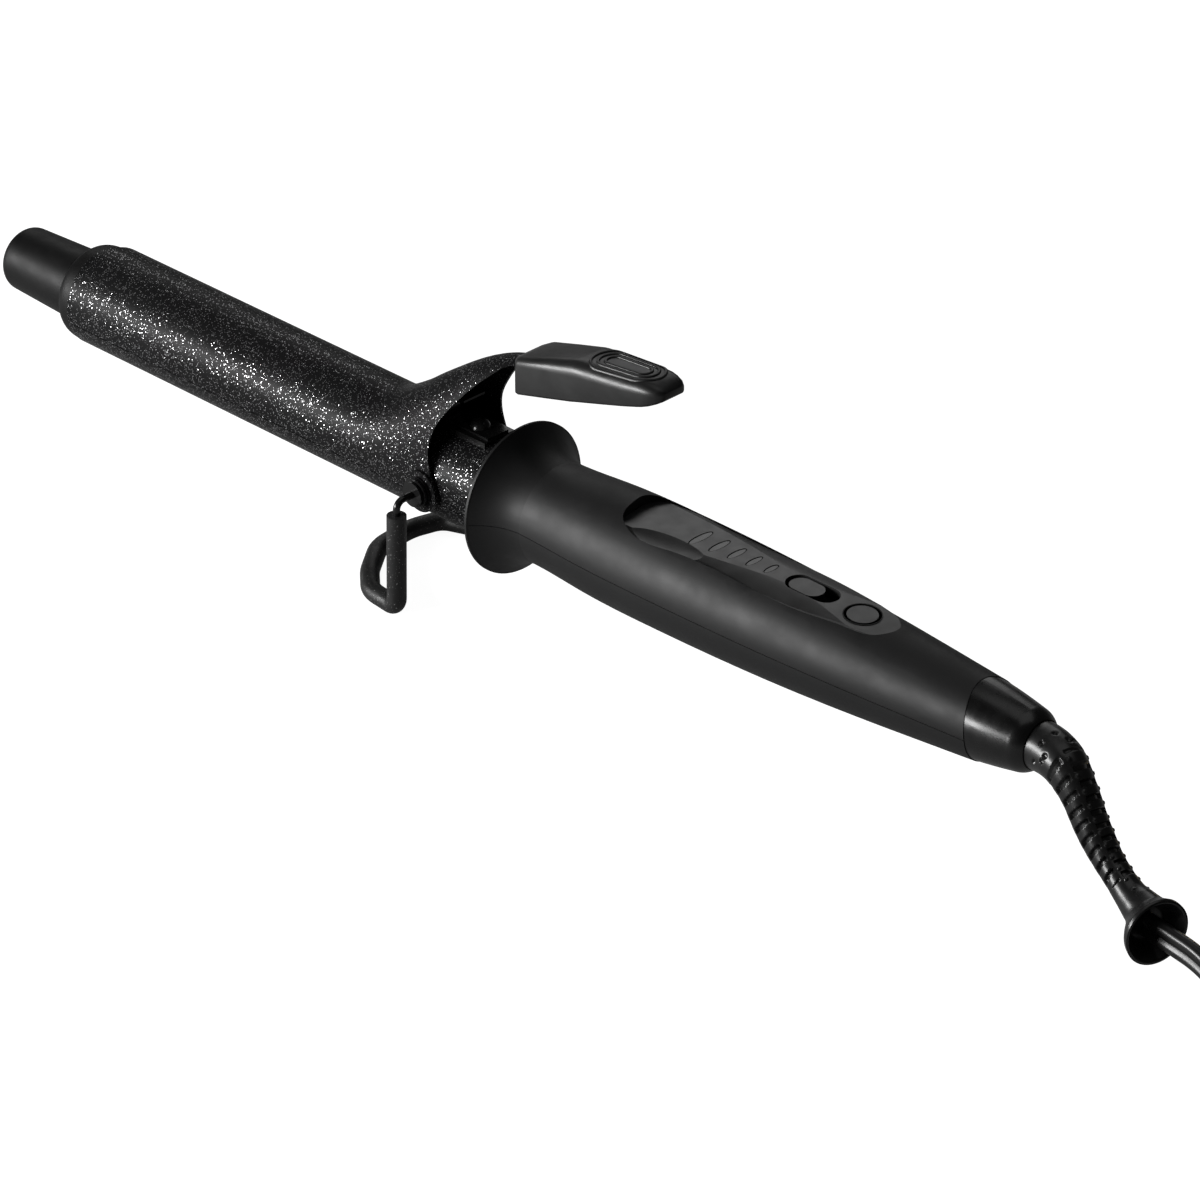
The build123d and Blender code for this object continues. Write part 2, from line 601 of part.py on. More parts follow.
PIECES = {
    "cool_tip": cool_tip, "tip_collar": tip_collar, "barrel_tube": barrel_tube,
    "upper_heat_spreader": lambda: heat_spreader(1), "lower_heat_spreader": lambda: heat_spreader(-1),
    "ceramic_heater": ceramic_heater, "thermistor": thermistor, "thermal_fuse": thermal_fuse,
    "heater_leads": heater_leads, "barrel_insulator": barrel_insulator, "pivot_bushes": pivot_bushes,
    "clamp_spoon": clamp_spoon, "thumb_pad": thumb_pad, "clamp_spring": clamp_spring,
    "spring_saddle": spring_saddle, "spring_rivet": spring_rivet,
    "stand_wire": stand_wire, "stand_sleeve": stand_sleeve,
    "front_ring": front_ring, "upper_shell": upper_shell, "lower_shell": lower_shell, "shell_screws": shell_screws,
    "control_panel": control_panel, "indicator_lens": indicator_lens, "indicator_leds": indicator_leds,
    "slide_cap": slide_cap, "slide_switch": slide_switch, "power_button": power_button,
    "button_ring": button_ring, "power_switch": power_switch, "circuit_board": circuit_board,
    "triac": triac, "capacitor": capacitor, "end_cap": end_cap, "swivel_socket": lambda: at_tail(swivel_socket()),
    "contact_springs": lambda: [at_tail(strip) for strip in contact_springs()],
    "swivel_core": lambda: at_tail(swivel_core()), "slip_rings": lambda: [at_tail(band) for band in slip_rings()],
    "mains_leads": mains_leads, "strain_relief": strain_relief,
    "cord_lead": lambda: cord_tube(LEAD) - cord_coil(), "cord_tail": lambda: cord_tube(TAIL) - cord_coil() - plug_body(),
    "cord_coil": cord_coil, "cord_tie": cord_tie, "plug_body": plug_body, "plug_blades": plug_blades,
}

os.makedirs("parts", exist_ok=True)
for name, make in PIECES.items():
    made = make()
    save(name, Compound(children=made) if isinstance(made, list) else made)
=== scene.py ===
import math

import bmesh
import bpy
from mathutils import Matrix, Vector


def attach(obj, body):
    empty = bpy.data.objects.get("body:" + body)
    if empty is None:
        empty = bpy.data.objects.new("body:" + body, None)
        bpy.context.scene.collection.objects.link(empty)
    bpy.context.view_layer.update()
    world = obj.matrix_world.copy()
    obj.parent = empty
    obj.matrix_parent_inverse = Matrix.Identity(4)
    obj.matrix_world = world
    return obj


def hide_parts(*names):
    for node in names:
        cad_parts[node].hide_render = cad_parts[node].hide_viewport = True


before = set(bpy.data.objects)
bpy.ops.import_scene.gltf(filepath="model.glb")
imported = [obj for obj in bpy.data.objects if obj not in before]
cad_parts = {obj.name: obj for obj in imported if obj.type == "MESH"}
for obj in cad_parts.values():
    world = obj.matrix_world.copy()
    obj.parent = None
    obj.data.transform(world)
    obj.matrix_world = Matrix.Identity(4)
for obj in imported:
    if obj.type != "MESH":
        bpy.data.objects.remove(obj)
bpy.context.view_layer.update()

MM = 0.001
# Lengths below are in mm from this point: on the barrel's axis, where the handle's rim stands.
RIM = Vector((-14.45, 0.0, 32.45))


def at(x, y, z):
    """A point given in mm from the rim, as a point of the frame in metres."""
    return (RIM + Vector((x, y, z))) * MM


# ---------------------------------------------------------------- camera, floor and lights

AIM = Vector((0.00785, 0.0046, 0.01085))
TO_CAMERA = Vector((0.610, -0.616, 0.498))
CAMERA_DISTANCE = 1.4508
LENS_MM = 181.5
SENSOR_MM = 36.0
FAR_CLIP = 20.0

FLOOR_SIZE = 14
FLOOR_DROP = 0.0003
FLOOR_TONE = 0.45
FLOOR_GLOW = 0.08
FLOOR_GLOW_SEEN = 0.95
WORLD_STRENGTH = 0.04

# name, place, what it points at, size, watts
SOFT_BOXES = (
    ("near", (-0.50, -0.72, 0.2), (0, 0, 0.03), (0.8, 0.22), 13.0),
    ("behind", (-1.25, 1.25, 1.05), (0, 0, 0.03), (1.5, 0.9), 4.6),
    ("above", (0.1, 0.2, 1.9), (0, 0, 0), (1.6, 1.6), 4.2),
)


def turned_to(thing, place, target):
    thing.location = place
    thing.rotation_euler = (Vector(target) - Vector(place)).to_track_quat("-Z", "Y").to_euler()


def add_camera():
    data = bpy.data.cameras.new("camera")
    data.lens = LENS_MM
    data.sensor_width = SENSOR_MM
    data.clip_end = FAR_CLIP
    camera = bpy.data.objects.new("camera", data)
    bpy.context.collection.objects.link(camera)
    turned_to(camera, AIM + TO_CAMERA.normalized() * CAMERA_DISTANCE, AIM)
    bpy.context.scene.camera = camera


def add_floor():
    """A pale floor that comes out white to the camera but throws little light on the iron."""
    bpy.ops.mesh.primitive_plane_add(size=FLOOR_SIZE, location=(0, 0, -FLOOR_DROP))
    floor = bpy.context.object
    floor.name = "floor"
    mat = bpy.data.materials.new("floor")
    mat.use_nodes = True
    shader = mat.node_tree.nodes["Principled BSDF"]
    shader.inputs["Base Color"].default_value = (FLOOR_TONE, FLOOR_TONE, FLOOR_TONE, 1)
    shader.inputs["Roughness"].default_value = 0.9
    shader.inputs["Specular IOR Level"].default_value = 0.1
    shader.inputs["Emission Color"].default_value = (1, 1, 1, 1)
    seen = mat.node_tree.nodes.new("ShaderNodeLightPath")
    glow = mat.node_tree.nodes.new("ShaderNodeMapRange")
    glow.inputs["To Min"].default_value = FLOOR_GLOW
    glow.inputs["To Max"].default_value = FLOOR_GLOW_SEEN
    mat.node_tree.links.new(seen.outputs["Is Camera Ray"], glow.inputs["Value"])
    mat.node_tree.links.new(glow.outputs["Result"], shader.inputs["Emission Strength"])
    floor.data.materials.append(mat)


def add_soft_box(name, place, target, size, power):
    data = bpy.data.lights.new(name, "AREA")
    data.shape = "RECTANGLE"
    data.energy = power
    data.size, data.size_y = size
    lamp = bpy.data.objects.new(name, data)
    bpy.context.collection.objects.link(lamp)
    turned_to(lamp, place, target)


def add_world():
    world = bpy.data.worlds.new("studio")
    bpy.context.scene.world = world
    world.use_nodes = True
    back = world.node_tree.nodes["Background"]
    back.inputs["Color"].default_value = (1, 1, 1, 1)
    back.inputs["Strength"].default_value = WORLD_STRENGTH
    bpy.context.scene.view_settings.view_transform = "Standard"


add_camera()
add_floor()
for soft_box in SOFT_BOXES:
    add_soft_box(*soft_box)
add_world()


# ---------------------------------------------------------------- materials

MAP_RANGE = ("From Min", "From Max", "To Min", "To Max")
NOISE_ROUGHNESS = 0.55

FLAKE_CELLS = 3600.0
FLAKE_RADIUS = (0.36, 0.5)
FLAKE_TONE = (0.42, 0.42, 0.425)
FLAKE_METALLIC = 0.92
FLAKE_ROUGHNESS = 0.2
ENAMEL_LEVEL = 0.07
ENAMEL_WORN = 1.45


class Surface:
    """A node material built step by step around one Principled shader."""

    def __init__(self, name, rough=0.5, metal=0.0, level=0.5):
        self.mat = bpy.data.materials.new(name)
        self.mat.use_nodes = True
        self.tree = self.mat.node_tree
        self.shader = self.tree.nodes["Principled BSDF"]
        self.shader.inputs["Roughness"].default_value = rough
        self.shader.inputs["Metallic"].default_value = metal
        self.shader.inputs["Specular IOR Level"].default_value = level
        self.place = self.node("ShaderNodeTexCoord").outputs["Object"]
        self.normal = None

    def node(self, kind, **settings):
        made = self.tree.nodes.new(kind)
        for key, value in settings.items():
            setattr(made, key, value)
        return made

    def link(self, out, socket):
        self.tree.links.new(out, socket)

    def feed(self, socket, value):
        if isinstance(value, bpy.types.NodeSocket):
            self.link(value, socket)
        else:
            socket.default_value = value

    def math(self, operation, a, b=0.0):
        made = self.node("ShaderNodeMath", operation=operation)
        self.feed(made.inputs[0], a)
        self.feed(made.inputs[1], b)
        return made.outputs[0]

    def vector(self, operation, a, b=(0, 0, 0)):
        made = self.node("ShaderNodeVectorMath", operation=operation)
        self.feed(made.inputs[0], a)
        self.feed(made.inputs[1], b)
        return made.outputs["Vector"]

    def noise(self, scale, detail, stretch=(1, 1, 1)):
        made = self.node("ShaderNodeTexNoise")
        self.link(self.vector("MULTIPLY", self.place, stretch), made.inputs["Vector"])
        made.inputs["Scale"].default_value = scale
        made.inputs["Detail"].default_value = detail
        made.inputs["Roughness"].default_value = NOISE_ROUGHNESS
        return made.outputs["Fac"]

    def ramp(self, value, low, high, out_low=0.0, out_high=1.0):
        """The value's run from low to high, stretched over the run from out_low to out_high."""
        made = self.node("ShaderNodeMapRange", clamp=True)
        self.feed(made.inputs["Value"], value)
        for key, number in zip(MAP_RANGE, (low, high, out_low, out_high)):
            made.inputs[key].default_value = number
        return made.outputs["Result"]

    def blend(self, share, a, b):
        made = self.node("ShaderNodeMix", data_type="RGBA")
        self.feed(made.inputs["Factor"], share)
        for socket, value in ((made.inputs["A"], a), (made.inputs["B"], b)):
            self.feed(socket, (*value, 1) if isinstance(value, tuple) else value)
        return next(o for o in made.outputs if o.type == "RGBA")

    def colour(self, a, b, share):
        self.link(self.blend(share, a, b), self.shader.inputs["Base Color"])

    def roughness(self, share, low, high):
        self.link(self.ramp(share, 0.0, 1.0, low, high), self.shader.inputs["Roughness"])

    def bump(self, height, depth_mm, strength):
        """One more layer of relief over the layers before it."""
        made = self.node("ShaderNodeBump")
        made.inputs["Strength"].default_value = strength
        made.inputs["Distance"].default_value = depth_mm * MM
        self.link(height, made.inputs["Height"])
        if self.normal is not None:
            self.link(self.normal, made.inputs["Normal"])
        self.normal = made.outputs["Normal"]
        self.link(self.normal, self.shader.inputs["Normal"])


def glitter_coat(name, flakes, base, tilt, rough):
    """Black enamel in which a share of fine cells are metal flakes that lie at small random tilts."""
    s = Surface(name, level=ENAMEL_LEVEL)
    cells = s.node("ShaderNodeTexVoronoi")
    cells.inputs["Scale"].default_value = FLAKE_CELLS
    cells.inputs["Randomness"].default_value = 1.0
    s.link(s.place, cells.inputs["Vector"])
    parts = s.node("ShaderNodeSeparateColor")
    s.link(cells.outputs["Color"], parts.inputs["Color"])
    chance = parts.outputs["Blue"]
    round_flake = s.ramp(cells.outputs["Distance"], *FLAKE_RADIUS, 1.0, 0.0)
    flake = s.math("MULTIPLY", s.ramp(chance, 1 - flakes - 0.02, 1 - flakes), round_flake)
    third = s.math("FRACT", s.math("MULTIPLY", parts.outputs["Red"], 13.7))
    joined = s.node("ShaderNodeCombineXYZ")
    for socket, value in zip(joined.inputs, (parts.outputs["Red"], parts.outputs["Green"], third)):
        s.link(value, socket)
    lean = s.vector("SUBTRACT", joined.outputs["Vector"], (0.5, 0.5, 0.5))
    strength = s.node("ShaderNodeVectorMath", operation="SCALE")
    s.link(lean, strength.inputs[0])
    s.link(s.math("MULTIPLY", flake, tilt), strength.inputs["Scale"])
    s.bump(s.noise(2600, 2), 0.004, 0.4)
    leaning = s.vector("NORMALIZE", s.vector("ADD", s.normal, strength.outputs["Vector"]))
    s.link(leaning, s.shader.inputs["Normal"])
    worn = s.ramp(s.noise(38, 4), 0.3, 0.7)
    enamel = s.blend(worn, base, tuple(ENAMEL_WORN * c for c in base))
    s.colour(enamel, FLAKE_TONE, flake)
    s.link(s.math("MULTIPLY", flake, FLAKE_METALLIC), s.shader.inputs["Metallic"])
    s.roughness(flake, rough, FLAKE_ROUGHNESS)
    return s.mat


def soft_touch(name, tone, rough):
    """Matte rubbery paint: a fine even grain and slight tonal drift where hands rub it."""
    s = Surface(name, level=0.3)
    drift = s.ramp(s.noise(26, 4), 0.35, 0.7)
    s.colour((tone, tone, tone * 1.02), (tone * 1.5, tone * 1.5, tone * 1.52), drift)
    s.roughness(s.ramp(s.noise(140, 3), 0.3, 0.7), rough - 0.04, rough + 0.05)
    s.bump(s.noise(3000, 2), 0.012, 0.35)
    s.bump(s.noise(700, 3), 0.01, 0.3)
    return s.mat


def moulded(name, tone, rough, grain=0.02, level=0.5, tint=(1, 1, 1)):
    """Injection-moulded plastic or rubber with fine spark texture and faint flow marks."""
    s = Surface(name, level=level)
    low = tuple(tone * t for t in tint)
    high = tuple(tone * 1.6 * t for t in tint)
    s.colour(low, high, s.ramp(s.noise(55, 4, stretch=(0.4, 1, 1)), 0.35, 0.72))
    s.roughness(s.ramp(s.noise(220, 3), 0.3, 0.7), rough - 0.05, rough + 0.06)
    s.bump(s.noise(1900, 3), grain, 0.5)
    return s.mat


def metal(name, tone, rough, tint=(1, 1, 1), stretch=(1, 1, 1), metallic=1.0):
    """Drawn or pressed metal with fine lines along its length and a little tarnish."""
    s = Surface(name, metal=metallic)
    low = tuple(tone * 0.75 * t for t in tint)
    high = tuple(tone * t for t in tint)
    s.colour(low, high, s.ramp(s.noise(90, 4), 0.3, 0.65))
    lines = s.noise(900, 3, stretch=stretch)
    s.roughness(s.ramp(lines, 0.25, 0.75), rough - 0.06, rough + 0.1)
    s.bump(lines, 0.012, 0.4)
    return s.mat


def speckled(name, tone, rough, level):
    """Dark sleeve or wire paint with small pale specks."""
    s = Surface(name, level=level)
    specks = s.ramp(s.noise(2400, 2), 0.66, 0.72)
    base = s.blend(s.ramp(s.noise(60, 3), 0.3, 0.7), (tone, tone, tone), (tone * 1.7,) * 3)
    s.colour(base, (0.22, 0.22, 0.22), specks)
    s.roughness(s.ramp(s.noise(400, 3), 0.3, 0.7), rough - 0.08, rough + 0.1)
    s.bump(s.noise(1500, 4), 0.06, 0.8)
    return s.mat


def board_mat(name):
    """Green circuit board with paler tracks."""
    s = Surface(name, rough=0.45)
    tracks = s.ramp(s.noise(420, 1, stretch=(0.3, 1, 1)), 0.5, 0.54)
    s.colour((0.015, 0.09, 0.035), (0.03, 0.19, 0.07), tracks)
    s.bump(tracks, 0.03, 0.6)
    return s.mat


def lens_mat(name):
    """Smoked glossy plastic of the indicator windows."""
    s = Surface(name)
    s.colour((0.014, 0.014, 0.0145), (0.022, 0.022, 0.023), s.ramp(s.noise(160, 3), 0.3, 0.7))
    s.roughness(s.ramp(s.noise(500, 2), 0.3, 0.7), 0.16, 0.3)
    s.bump(s.noise(1200, 2), 0.008, 0.4)
    return s.mat


BARREL = glitter_coat("barrel_coat", 0.2, (0.004, 0.004, 0.0042), 0.5, 0.36)
CLAMP = glitter_coat("clamp_coat", 0.16, (0.005, 0.005, 0.0052), 0.5, 0.4)
HANDLE = soft_touch("soft_touch", 0.006, 0.52)
HEATPROOF = moulded("heatproof_plastic", 0.0025, 0.46, level=0.17)
PANEL = moulded("panel_gloss", 0.012, 0.34, grain=0.004, level=0.55)
PAD = moulded("pad_plastic", 0.008, 0.36, grain=0.01, level=0.45)
CAP = moulded("cap_gloss", 0.002, 0.26, grain=0.003, level=0.55)
RUBBER = moulded("cord_rubber", 0.006, 0.3)
SLEEVE = speckled("stand_sleeve", 0.008, 0.46, 0.35)
BLACK_STEEL = metal("black_steel", 0.012, 0.18, metallic=0.3)
BRIGHT = metal("bright_steel", 0.6, 0.25, stretch=(0.1, 1, 1))
ALUMINIUM = metal("aluminium", 0.72, 0.35, stretch=(0.1, 1, 1))
BRASS = metal("brass", 0.7, 0.26, tint=(1.0, 0.78, 0.42), stretch=(0.2, 1, 1))
CERAMIC = moulded("ceramic", 0.42, 0.5, tint=(1, 0.97, 0.9))
BOARD = board_mat("board")
LENS = lens_mat("lens")
WIRE = moulded("wire_insulation", 0.28, 0.42, tint=(1, 0.95, 0.85))

FINISHES = {
    "barrel_tube": BARREL, "clamp_spoon": CLAMP, "cool_tip": HEATPROOF, "tip_collar": HEATPROOF,
    "upper_heat_spreader": ALUMINIUM, "lower_heat_spreader": ALUMINIUM, "ceramic_heater": CERAMIC,
    "thermistor": BRASS, "thermal_fuse": BRIGHT, "heater_leads": BRIGHT, "barrel_insulator": CERAMIC,
    "pivot_bushes": BLACK_STEEL, "thumb_pad": PAD, "clamp_spring": BLACK_STEEL, "spring_saddle": BLACK_STEEL,
    "spring_rivet": BLACK_STEEL, "stand_wire": BLACK_STEEL, "stand_sleeve": SLEEVE, "front_ring": HANDLE,
    "upper_shell": HANDLE, "lower_shell": HANDLE, "shell_screws": BRIGHT, "control_panel": PANEL,
    "indicator_lens": LENS, "indicator_leds": CERAMIC, "slide_cap": PANEL, "slide_switch": HEATPROOF,
    "power_button": PANEL, "button_ring": HEATPROOF, "power_switch": HEATPROOF, "circuit_board": BOARD,
    "triac": HEATPROOF, "capacitor": CERAMIC, "end_cap": CAP, "swivel_socket": HEATPROOF,
    "contact_springs": BRASS, "swivel_core": HEATPROOF, "slip_rings": BRASS, "mains_leads": WIRE,
    "strain_relief": RUBBER, "cord_lead": RUBBER, "cord_tail": RUBBER, "cord_coil": RUBBER,
    "cord_tie": RUBBER, "plug_body": RUBBER, "plug_blades": BRASS,
}
for node, finish in FINISHES.items():
    for material_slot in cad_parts[node].material_slots:
        material_slot.material = finish


# ---------------------------------------------------------------- mesh helpers


def add_mesh(name, verts, faces, finish, smooth=40.0):
    """A closed mesh from points in the row frame, with its normals outwards."""
    mesh = bpy.data.meshes.new(name)
    mesh.from_pydata([tuple(v) for v in verts], [], faces)
    work = bmesh.new()
    work.from_mesh(mesh)
    bmesh.ops.remove_doubles(work, verts=work.verts, dist=1e-7)
    bmesh.ops.recalc_face_normals(work, faces=work.faces)
    work.to_mesh(mesh)
    work.free()
    mesh.materials.append(finish)
    piece = bpy.data.objects.new(name, mesh)
    bpy.context.collection.objects.link(piece)
    mesh.shade_smooth()
    mesh.set_sharp_from_angle(angle=math.radians(smooth))
    return piece


def skin(rings):
    """A closed skin over rings of equally many points, capped at both ends."""
    count = len(rings[0])
    verts = [p for ring in rings for p in ring]
    faces = []
    for i in range(len(rings) - 1):
        for j in range(count):
            k = (j + 1) % count
            faces.append((i * count + j, i * count + k, (i + 1) * count + k, (i + 1) * count + j))
    faces.append(tuple(range(count)))
    faces.append(tuple(reversed(range((len(rings) - 1) * count, len(rings) * count))))
    return verts, faces


# ---------------------------------------------------------------- cord

CORD_W = 6.6
CORD_T = 3.3
CORE_POINTS = 12
CORE_START = -55
CORE_SWEEP = 290
FLOOR_Z = -32.45
COIL_MIDDLE = (258.6, 20.0)
COIL_INNER = 28.25
COIL_OUTER = 41.2
TURN_GAP = 3.4
LAYER_Z = (FLOOR_Z + 3.35, FLOOR_Z + 10.1)
LEAD = ((205.3, -8.9, -24.5), (212.5, -9.8, -24.9), (221.5, -10.5, -25.5), (232.0, -13.7, -27.4))
TAIL = ((235.0, 54.5, -23.0), (229.5, 52.6, -24.2), (224.5, 52.0, -24.9))
COIL_START = math.radians(-112)
COIL_END = math.radians(115)
TURN_POINTS = 16
CLIMB_START = 0.47
CLIMB_SHARE = 0.06


def coil_points():
    """Turns wound inwards on the floor and outwards again on top of them."""
    points = []
    turns = 2 * (COIL_OUTER - COIL_INNER) / TURN_GAP
    once = COIL_END - COIL_START
    sweep = once + 2 * math.pi * round(turns - once / (2 * math.pi))
    steps = round(sweep / (2 * math.pi) * TURN_POINTS)
    for i in range(steps + 1):
        share = i / steps
        angle = COIL_START + sweep * share
        inward = abs(1 - 2 * share)
        radius = COIL_INNER + (COIL_OUTER - COIL_INNER) * inward
        climb = min(max((share - CLIMB_START) / CLIMB_SHARE, 0.0), 1.0)
        z = LAYER_Z[0] + (LAYER_Z[1] - LAYER_Z[0]) * climb
        x = COIL_MIDDLE[0] + radius * math.cos(angle)
        y = COIL_MIDDLE[1] + radius * math.sin(angle)
        points.append((x, y, z))
    return points


def cord_line():
    """The cord's centreline: one smooth spline through the lead, the coil and the tail."""
    route = [at(*p) for p in (*LEAD, *coil_points(), *TAIL)]
    curve = bpy.data.curves.new("cord_line", "CURVE")
    curve.dimensions = "3D"
    curve.resolution_u = 8
    spline = curve.splines.new("NURBS")
    spline.points.add(len(route) - 1)
    for point, place in zip(spline.points, route):
        point.co = (*place, 1)
    spline.order_u = 3
    spline.use_endpoint_u = True
    holder = bpy.data.objects.new("cord_line", curve)
    bpy.context.collection.objects.link(holder)
    line = bpy.data.meshes.new_from_object(holder)
    path = [v.co.copy() for v in line.vertices]
    bpy.data.meshes.remove(line)
    bpy.data.objects.remove(holder)
    return path


def add_cord():
    """Two round cores side by side in one rubber skin, drawn along the cord's line."""
    path = cord_line()
    core = CORD_T / 2
    centre = CORD_W / 2 - core
    outline = []
    for side in (1, -1):
        for i in range(CORE_POINTS):
            turn = math.radians(CORE_START + CORE_SWEEP * i / (CORE_POINTS - 1))
            outline.append((side * core * math.cos(turn), side * (centre + core * math.sin(turn))))
    rings = []
    for i, place in enumerate(path):
        ahead = (path[min(i + 1, len(path) - 1)] - path[max(i - 1, 0)]).normalized()
        across = ahead.cross(Vector((0, 0, 1))).normalized()
        up = across.cross(ahead)
        rings.append([place + (across * a + up * b) * MM for a, b in outline])
    verts, faces = skin(rings)
    cord = add_mesh("power_cord", verts, faces, RUBBER, smooth=75)
    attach(cord, "cord_swivel")
    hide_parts("cord_lead", "cord_tail", "cord_coil")


add_cord()


# ---------------------------------------------------------------- strain relief

# x, y, z and radius at places down the moulding
RELIEF = (
    (157.4, 0.0, 0.72, 5.85), (161.5, 0.0, 0.72, 5.85), (165.5, 0.0, 0.72, 5.85),
    (167.8, -0.3, 0.8, 5.8), (170.4, -0.9, 0.8, 5.65), (173.6, -1.8, 0.3, 5.4),
    (176.2, -2.4, -1.3, 5.0), (178.5, -2.9, -3.3, 4.6), (180.8, -3.4, -5.6, 4.35),
    (184.0, -4.2, -9.4, 4.15), (187.2, -4.9, -12.6, 3.95), (191.0, -5.8, -15.6, 3.6),
    (195.0, -6.75, -17.9, 3.5), (199.0, -7.7, -19.9, 3.75), (202.1, -8.4, -20.9, 4.35),
    (204.5, -8.9, -21.5, 5.0), (206.3, -9.4, -22.8, 6.6), (207.8, -9.8, -23.8, 7.7),
    (209.2, -10.2, -24.4, 8.05),
)
# the way the last few of those places face, where the bell opens
FLARE = ((0.89, -0.24, -0.40), (0.93, -0.27, -0.25), (0.95, -0.29, -0.10), (0.95, -0.3, 0.0))
# how far past its last place, and how wide, the bell's hollow is
BELL = (
    (0.0, 7.9), (0.08, 7.7), (0.02, 7.4), (-0.25, 7.2),
    (-1.6, 6.2), (-3.2, 5.3), (-4.6, 4.4), (-5.0, 3.9),
)
AROUND = 120
STATION_GAP = 0.16
QUARTER = math.pi / 2
RIB_START = 16.5
RIB_END = 47.5
RIB_PITCH = 3.3
SLOT_HALF = 0.62
SLOT_DEPTH = 0.95
SLOT_LEAN = 0.9
SLOT_SHALLOW = 0.35
SLOT_DEEPENS = 6
SLOT_SOFT = math.radians(4)
SLOT_SPANS = (math.radians(30), math.radians(38))
ROW_TURN = math.radians(-22)
PIP_TURN = math.radians(39)
DIMPLES = ((12.6, math.radians(25)), (15.0, math.radians(8)))
DOT_RADIUS = 0.4
DOT_SOFT = 0.24
PIP_HEIGHT = 0.28
DIMPLE_DEPTH = 0.5


def smoothed(values, share):
    """A point on the smooth curve through four neighbours, between the middle two."""
    a, b, c, d = values
    bend = (2 * a - 5 * b + 4 * c - d) * share * share
    twist = (3 * b - a - 3 * c + d) * share ** 3
    return 0.5 * (2 * b + (c - a) * share + bend + twist)


def relief_stations():
    """Closely spaced (centre, direction, radius, distance along) down the strain relief."""
    centres = [Vector(s[:3]) for s in RELIEF]
    radii = [s[3] for s in RELIEF]
    ahead = []
    for i in range(len(centres)):
        flare = i - len(centres) + len(FLARE)
        step = centres[min(i + 1, len(centres) - 1)] - centres[max(i - 1, 0)]
        ahead.append((Vector(FLARE[flare]) if flare >= 0 else step).normalized())
    rows = []
    travelled = 0.0
    for i in range(len(centres) - 1):
        near = [max(i - 1, 0), i, i + 1, min(i + 2, len(centres) - 1)]
        steps = max(3, round((centres[i + 1] - centres[i]).length / STATION_GAP))
        for j in range(steps):
            share = j / steps
            place = smoothed([centres[k] for k in near], share)
            radius = smoothed([radii[k] for k in near], share)
            direction = ahead[i].lerp(ahead[i + 1], share).normalized()
            if rows:
                travelled += (place - rows[-1][0]).length
            rows.append((place, direction, radius, travelled))
    travelled += (centres[-1] - rows[-1][0]).length
    rows.append((centres[-1], ahead[-1], radii[-1], travelled))
    return rows


def soft_edge(value, limit, soft):
    """1 inside the limit, falling to 0 over a soft edge outside it."""
    return min(max((limit + soft - abs(value)) / soft, 0.0), 1.0)


def slot_depth(along, turn):
    """How deep the slots are at a place on the moulding: four rows, half a pitch off their neighbours."""
    if not RIB_START < along < RIB_END:
        return 0.0
    row = round(turn / QUARTER)
    off = turn - row * QUARTER
    odd = row % 2
    lean = 0.0 if odd else SLOT_LEAN * off
    phase = (along - RIB_START + lean - odd * RIB_PITCH / 2) % RIB_PITCH - RIB_PITCH / 2
    from_end = min(along - RIB_START, RIB_END - along)
    taper = min(1.0, SLOT_SHALLOW + from_end / SLOT_DEEPENS)
    across = soft_edge(off, SLOT_SPANS[odd], SLOT_SOFT)
    return SLOT_DEPTH * taper * soft_edge(phase, SLOT_HALF - 0.1, 0.2) * across


def dot_height(along, turn, radius):
    """Small round pips along one row of ribs, and dimples in the smooth collar."""
    row = round(turn / QUARTER)
    off = turn - row * QUARTER
    height = 0.0
    if row == 1 and RIB_START < along < RIB_END + 4:
        phase = (along - RIB_START) % RIB_PITCH - RIB_PITCH / 2
        away = math.hypot(phase, (abs(off) - PIP_TURN) * radius)
        height += PIP_HEIGHT * min(max((DOT_RADIUS + 0.12 - away) / DOT_SOFT, 0.0), 1.0)
    for mark, turned in DIMPLES:
        away = math.hypot(along - mark, (abs(off) - turned) * radius)
        height -= DIMPLE_DEPTH * min(max((DOT_RADIUS + 0.3 - away) / DOT_SOFT, 0.0), 1.0)
    return height


def add_relief():
    """The strain relief with its slots, pips and open bell."""
    rings = []
    rows = relief_stations()
    for place, direction, radius, along in rows:
        across = direction.cross(Vector((0, 0, 1))).normalized()
        up = across.cross(direction)
        ring = []
        for j in range(AROUND):
            turn = 2 * math.pi * j / AROUND
            r = radius - slot_depth(along, turn + ROW_TURN) + dot_height(along, turn + ROW_TURN, radius)
            ring.append(at(*(place + (across * math.cos(turn) + up * math.sin(turn)) * r)))
        rings.append(ring)
    place, direction, _, _ = rows[-1]
    across = direction.cross(Vector((0, 0, 1))).normalized()
    up = across.cross(direction)
    turns = [2 * math.pi * j / AROUND for j in range(AROUND)]
    for depth, radius in BELL:
        centre = place + direction * depth
        rings.append([at(*(centre + (across * math.cos(t) + up * math.sin(t)) * radius)) for t in turns])
    verts, faces = skin(rings)
    relief = add_mesh("ribbed_relief", verts, faces, RUBBER, smooth=50)
    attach(relief, "cord_swivel")
    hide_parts("strain_relief")


add_relief()


# ---------------------------------------------------------------- thumb pad

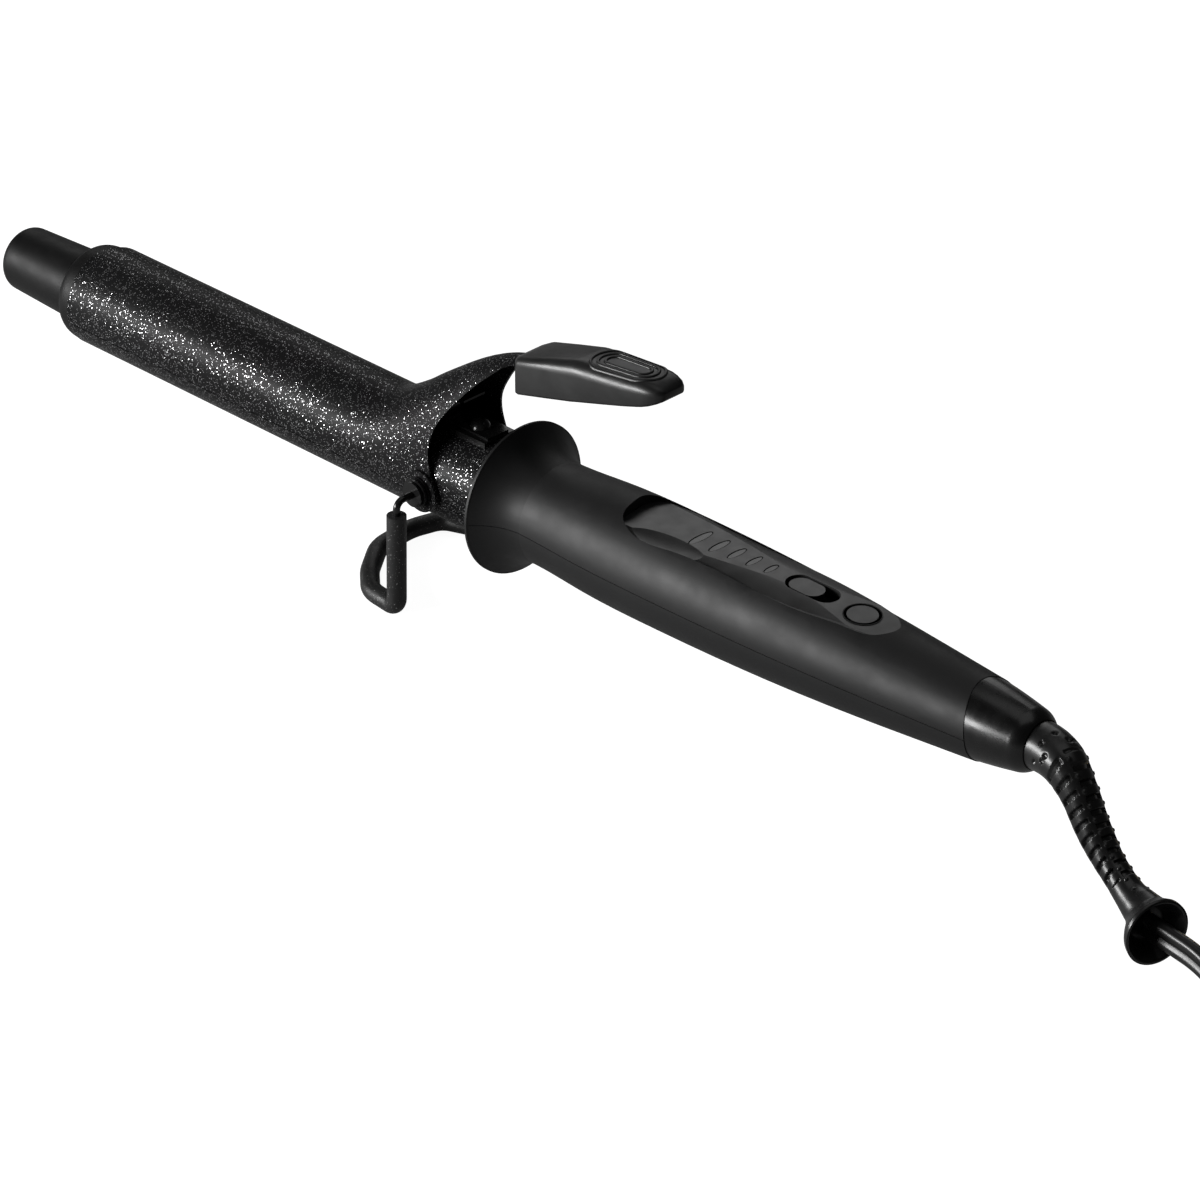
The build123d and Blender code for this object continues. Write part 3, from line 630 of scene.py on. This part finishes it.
# x, lowest z, highest z, half width, top edge radius, bottom edge radius
PAD_STATIONS = (
    (3.5, 33.2, 40.3, 4.7, 1.2, 0.8), (3.8, 32.7, 40.8, 5.2, 1.4, 0.9),
    (5.3, 32.1, 41.5, 6.7, 1.7, 0.9), (6.2, 32.2, 41.9, 7.0, 1.9, 0.9),
    (15.0, 34.5, 44.8, 7.0, 2.9, 0.9), (23.6, 36.8, 47.4, 7.0, 3.6, 0.9),
    (24.6, 37.1, 47.6, 6.97, 3.6, 0.9), (25.6, 37.4, 47.75, 6.95, 3.6, 0.9),
    (33.0, 39.5, 48.4, 6.7, 3.4, 0.9), (40.0, 41.5, 49.0, 6.4, 3.2, 0.9),
    (44.0, 42.7, 49.4, 6.1, 3.0, 0.9), (45.6, 43.2, 49.45, 5.9, 2.8, 0.9),
    (47.4, 43.9, 49.3, 5.5, 2.6, 0.9), (49.2, 44.8, 48.8, 4.8, 1.9, 0.8),
    (50.4, 45.5, 48.2, 3.9, 1.2, 0.7), (50.9, 46.1, 47.7, 2.8, 0.7, 0.6),
)
CORNER_STEPS = 7
RIDGE_MIDDLE = 36.4
RIDGE_STEPS = 96
RIDGE_POINTS = 10
RIDGE_HALF = 0.45
RIDGE_RISE = 0.42
RIDGE_SUNK = 0.05
# half length and half width of each loop
RIDGES = ((10.4, 4.9), (8.6, 3.45), (6.8, 2.0))


def pad_ring(x, low, high, half, top, bottom):
    """One round-cornered section across the pad."""
    points = []
    for cy, cz, radius, start in (
        (half - top, high - top, top, 0), (-half + top, high - top, top, 90),
        (-half + bottom, low + bottom, bottom, 180), (half - bottom, low + bottom, bottom, 270),
    ):
        for i in range(CORNER_STEPS):
            turn = math.radians(start + 90 * i / (CORNER_STEPS - 1))
            points.append(at(x, cy + radius * math.cos(turn), cz + radius * math.sin(turn)))
    return points


def pad_top(x, y):
    """The height of the pad's top surface."""
    for a, b in zip(PAD_STATIONS, PAD_STATIONS[1:]):
        if a[0] <= x <= b[0]:
            share = (x - a[0]) / (b[0] - a[0])
            high, half, edge = (a[i] + (b[i] - a[i]) * share for i in (2, 3, 4))
            over = abs(y) - (half - edge)
            return high if over <= 0 else high - edge + math.sqrt(max(edge ** 2 - over ** 2, 0))
    return PAD_STATIONS[-1][2]


def ridge_ring(half_long, half_wide):
    """A round-ended loop in plan, a little wider at its front end."""
    points = []
    for i in range(RIDGE_STEPS):
        turn = 2 * math.pi * (i + 0.5) / RIDGE_STEPS
        straight = math.copysign(half_long - half_wide, math.cos(turn))
        x = straight + half_wide * math.cos(turn)
        points.append((RIDGE_MIDDLE + x, half_wide * (1 - 0.01 * x) * math.sin(turn)))
    return points


def add_pad_shell():
    verts, faces = skin([pad_ring(*s) for s in PAD_STATIONS])
    pad = add_mesh("pad_shell", verts, faces, PAD, smooth=35)
    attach(pad, "clamp")
    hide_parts("thumb_pad")


def ridge_rings(half_long, half_wide):
    """Sections of one raised loop, all the way round, half sunk in the pad's top."""
    loop = ridge_ring(half_long, half_wide)
    rings = []
    for i, (x, y) in enumerate(loop):
        ax, ay = loop[i - 1]
        bx, by = loop[(i + 1) % len(loop)]
        side = Vector((by - ay, -(bx - ax), 0)).normalized()
        ring = []
        for j in range(RIDGE_POINTS):
            turn = 2 * math.pi * j / RIDGE_POINTS
            out = side * (RIDGE_HALF * math.cos(turn))
            px, py = x + out.x, y + out.y
            ring.append(at(px, py, pad_top(px, py) - RIDGE_SUNK + RIDGE_RISE * math.sin(turn)))
        rings.append(ring)
    return rings


def add_pad_ridges():
    verts, faces = [], []
    for half_long, half_wide in RIDGES:
        rings = ridge_rings(half_long, half_wide)
        start = len(verts)
        verts += [p for ring in rings for p in ring]
        for i in range(RIDGE_STEPS):
            a = start + i * RIDGE_POINTS
            b = start + (i + 1) % RIDGE_STEPS * RIDGE_POINTS
            for j in range(RIDGE_POINTS):
                k = (j + 1) % RIDGE_POINTS
                faces.append((a + j, b + j, b + k, a + k))
    ridges = add_mesh("pad_ridges", verts, faces, PAD, smooth=80)
    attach(ridges, "clamp")


add_pad_shell()
add_pad_ridges()
